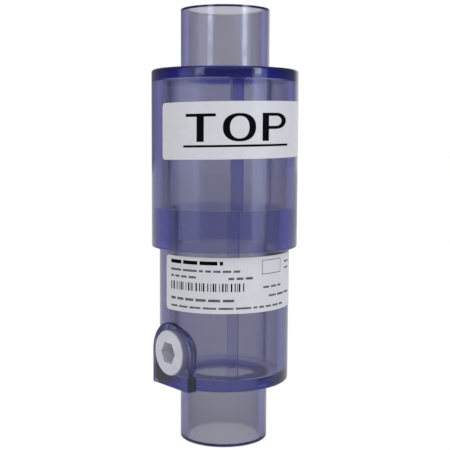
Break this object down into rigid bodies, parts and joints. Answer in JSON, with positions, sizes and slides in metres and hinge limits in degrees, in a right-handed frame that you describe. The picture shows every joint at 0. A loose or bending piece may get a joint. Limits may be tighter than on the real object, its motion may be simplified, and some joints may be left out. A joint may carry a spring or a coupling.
{
  "type": "condensate trap",
  "caption": "Clear float-type condensate trap with a pipe spigot at each end, ribbed inner walls, a ball check valve and a plugged side clean-out port.",
  "frame": {"origin": "on the trap's axis, at the end face of the outlet spigot", "axes": "+Z along the axis up to the inlet, -Y towards the front of the labels"},
  "size_m": [0.07, 0.0702, 0.2056],
  "materials": {
    "clear_pvc": "clear, faintly blue, glossy moulded PVC",
    "white_plug": "white moulded plastic",
    "label_film": "smooth white label film",
    "valve_plastic": "pale grey moulded plastic",
    "soft_seat": "soft black rubber",
    "ball_plastic": "white float plastic"
  },
  "bodies": {
    "housing": {"upper_shell": "clear_pvc", "lower_shell": "clear_pvc", "top_label": "label_film", "product_label": "label_film", "valve_plate": "valve_plastic", "seat_ring": "soft_seat", "ball_cage": "valve_plastic"},
    "float": {"float_ball": "ball_plastic"},
    "plug": {"clean_out_plug": "white_plug"}
  },
  "joints": [
    {"name": "float_lift", "type": "slide", "parent": "housing", "child": "float", "axis": [0, 0, 1], "range_m": [0, 0.0036]},
    {"name": "plug_out", "type": "slide", "parent": "housing", "child": "plug", "axis": [-0.7771, -0.6293, 0], "range_m": [0, 0.016]}
  ]
}
